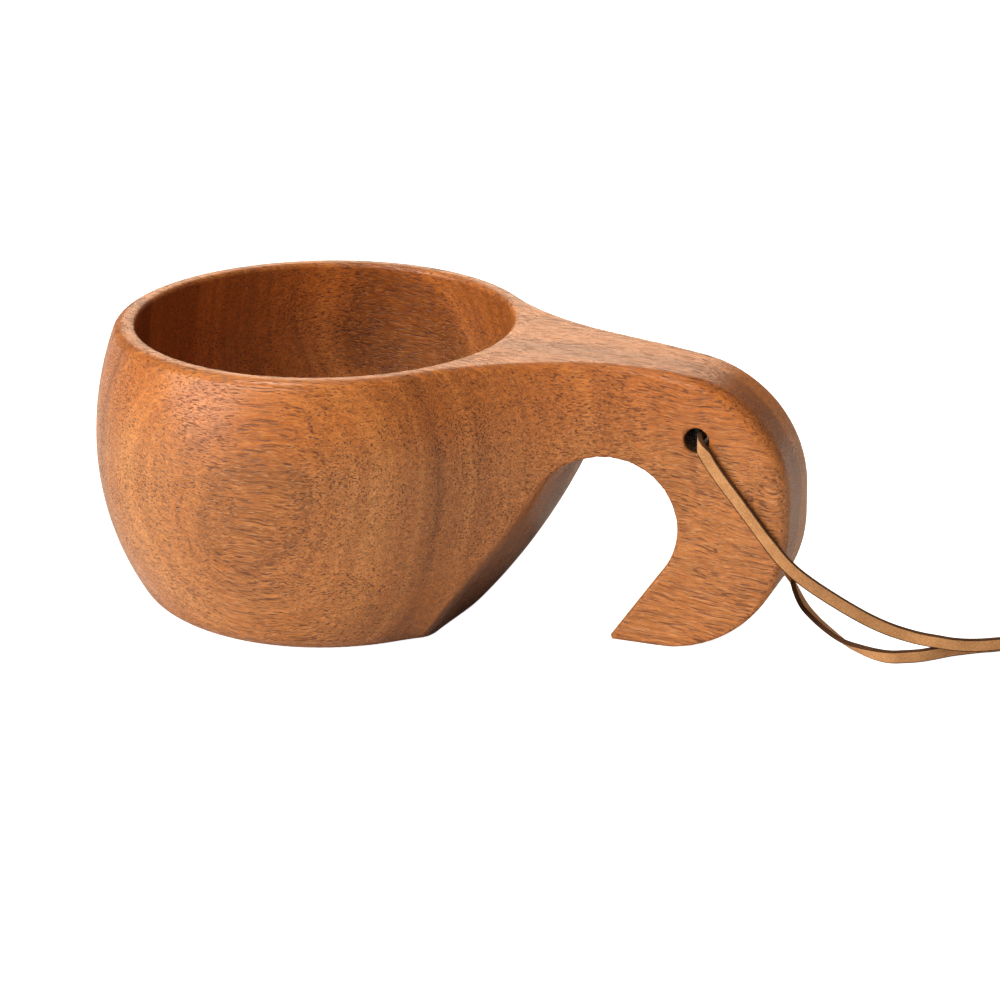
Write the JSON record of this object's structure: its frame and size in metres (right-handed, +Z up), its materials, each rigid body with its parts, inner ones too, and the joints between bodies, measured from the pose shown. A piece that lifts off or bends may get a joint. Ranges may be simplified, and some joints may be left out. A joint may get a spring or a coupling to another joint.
{
  "type": "wooden cup",
  "caption": "One-piece carved wooden drinking cup with a round bowl, a hooked handle with a finger hole, and a looped leather lace.",
  "frame": {"origin": "centre of the round base, on the face that the cup stands on", "axes": "+X from the bowl to the handle, +Y across the cup, +Z up along the bowl's axis"},
  "size_m": [0.2057, 0.099, 0.061],
  "materials": {
    "wood": "oiled, satin",
    "leather": "suede, matt"
  },
  "bodies": {
    "cup": {"cup_body": "wood"},
    "lace_loop": {"lace_front_strand": "leather", "lace_rear_strand": "leather", "lace_knot": "leather", "lace_front_tail": "leather", "lace_rear_tail": "leather"}
  },
  "joints": [
    {"name": "loop_swing", "type": "hinge", "parent": "cup", "child": "lace_loop", "pos_m": [0.0855, 0, 0.0465], "axis": [0, -1, 0], "range_deg": [0, 110]}
  ]
}
